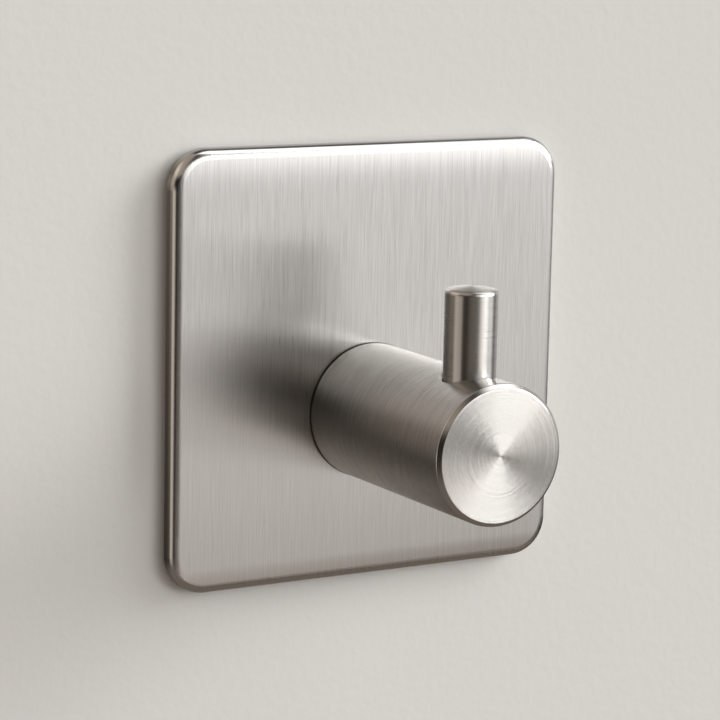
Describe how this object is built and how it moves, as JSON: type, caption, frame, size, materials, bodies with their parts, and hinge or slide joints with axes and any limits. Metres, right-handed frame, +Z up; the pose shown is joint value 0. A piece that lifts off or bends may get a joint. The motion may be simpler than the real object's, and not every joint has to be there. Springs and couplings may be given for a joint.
{
  "type": "adhesive hook",
  "caption": "Square wall plate with rounded corners and a foam adhesive back, carrying a turned post with an upright retaining pin, for hanging towels, robes or keys.",
  "frame": {"origin": "middle of the pad's wall face, at the centre of the square plate", "axes": "+Y into the wall, so the hook reaches out along -Y; +Z up, the way the retaining pin points; +X along the plate's lower edge"},
  "size_m": [0.045, 0.0275, 0.045],
  "materials": {
    "pad_foam": "matt closed-cell acrylic foam",
    "plate_steel": "brushed up and down",
    "post_steel": "turned, with round tool lines",
    "pin_steel": "finely polished",
    "screw_steel": "plain machined"
  },
  "bodies": {
    "root": {"adhesive_pad": "pad_foam", "back_plate": "plate_steel", "post": "post_steel", "retaining_pin": "pin_steel", "fixing_screw": "screw_steel"}
  },
  "joints": []
}
